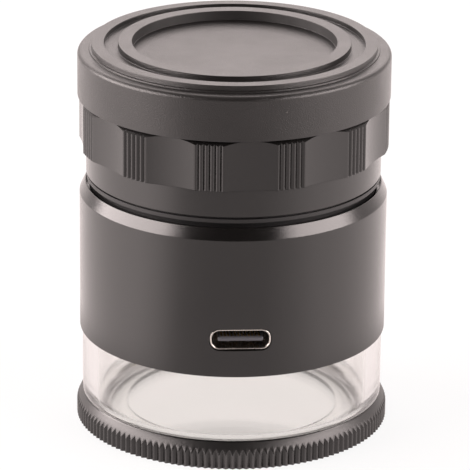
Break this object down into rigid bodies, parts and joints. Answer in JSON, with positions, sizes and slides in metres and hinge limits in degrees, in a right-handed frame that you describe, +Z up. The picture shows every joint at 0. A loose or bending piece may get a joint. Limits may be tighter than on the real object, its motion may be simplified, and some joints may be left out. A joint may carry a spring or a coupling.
{
  "type": "jewellers loupe",
  "caption": "Focusing stand loupe: scalloped focus ring over a black metal body with lamp and charging port, clear foot, ribbed base ring and push-on dust cap.",
  "frame": {"origin": "centre of the base ring's underside, where the loupe stands", "axes": "+Z up along the optical axis, -Y out of the charging port, +Y out of the lamp button"},
  "size_m": [0.047, 0.047, 0.0588],
  "materials": {
    "black_anodised": "satin black anodised",
    "clear_acrylic": "clear polished",
    "black_moulding": "matte",
    "white_moulding": "matte",
    "cap_moulding": "fine-grained matte",
    "screw_steel": "plain",
    "socket_steel": "bright",
    "gilt_contact": "gilt",
    "circuit_board": "white solder mask",
    "lamp_phosphor": "satin",
    "capacitor_tan": "matte",
    "battery_foil": "foil pouch",
    "grey_foam": "foam tape",
    "wire_red": "insulated wire",
    "black_rubber": "greased",
    "lens_glass": "polished"
  },
  "bodies": {
    "body": {"body_shell": "black_anodised", "clear_base": "clear_acrylic", "chassis": "black_moulding", "chassis_screws": "screw_steel", "main_board": "circuit_board", "board_screws": "screw_steel", "leds": "lamp_phosphor", "charge_chip": "black_moulding", "capacitors": "capacitor_tan", "usb_socket": "socket_steel", "usb_tongue": "black_moulding", "usb_contacts": "gilt_contact", "side_switch": "socket_steel", "battery": "battery_foil", "battery_pad": "grey_foam", "battery_leads": "wire_red"},
    "drag": {"drag_ring": "black_rubber"},
    "focus": {"focus_ring": "black_anodised", "lens_cell": "black_anodised", "field_lens_hollow": "lens_glass", "field_lens_full": "lens_glass", "lens_spacer": "black_anodised", "eye_lens_full": "lens_glass", "eye_lens_hollow": "lens_glass", "lens_retainer": "black_anodised", "cell_lock_ring": "black_anodised"},
    "cap": {"dust_cap": "cap_moulding"},
    "button": {"power_button": "black_anodised", "switch_plunger": "white_moulding"},
    "reticle": {"reticle_glass": "lens_glass"},
    "base_ring": {"base_ring": "black_anodised"}
  },
  "joints": [
    {"name": "focus_travel", "type": "slide", "parent": "body", "child": "drag", "axis": [0, 0, 1], "range_m": [-0.0006, 0.0044]},
    {"name": "focus_turn", "type": "hinge", "parent": "drag", "child": "focus", "pos_m": [0, 0, 0.0389], "axis": [0, 0, 1], "range_deg": [-36, 264]},
    {"name": "cap_lift", "type": "slide", "parent": "focus", "child": "cap", "axis": [0, 0, 1], "range_m": [0, 0.01]},
    {"name": "button_press", "type": "slide", "parent": "body", "child": "button", "axis": [0, -1, 0], "range_m": [0, 0.0003], "stiffness_N_per_m": 1500},
    {"name": "base_ring_travel", "type": "slide", "parent": "body", "child": "reticle", "axis": [0, 0, -1], "range_m": [0, 0.002]},
    {"name": "base_ring_turn", "type": "hinge", "parent": "reticle", "child": "base_ring", "pos_m": [0, 0, 0], "axis": [0, 0, -1], "range_deg": [0, 720]}
  ],
  "couplings": [
    {"joint": "focus_travel", "follows": "focus_turn", "m_per_rad": 0.00095492},
    {"joint": "base_ring_travel", "follows": "base_ring_turn", "m_per_rad": 0.00015915}
  ]
}
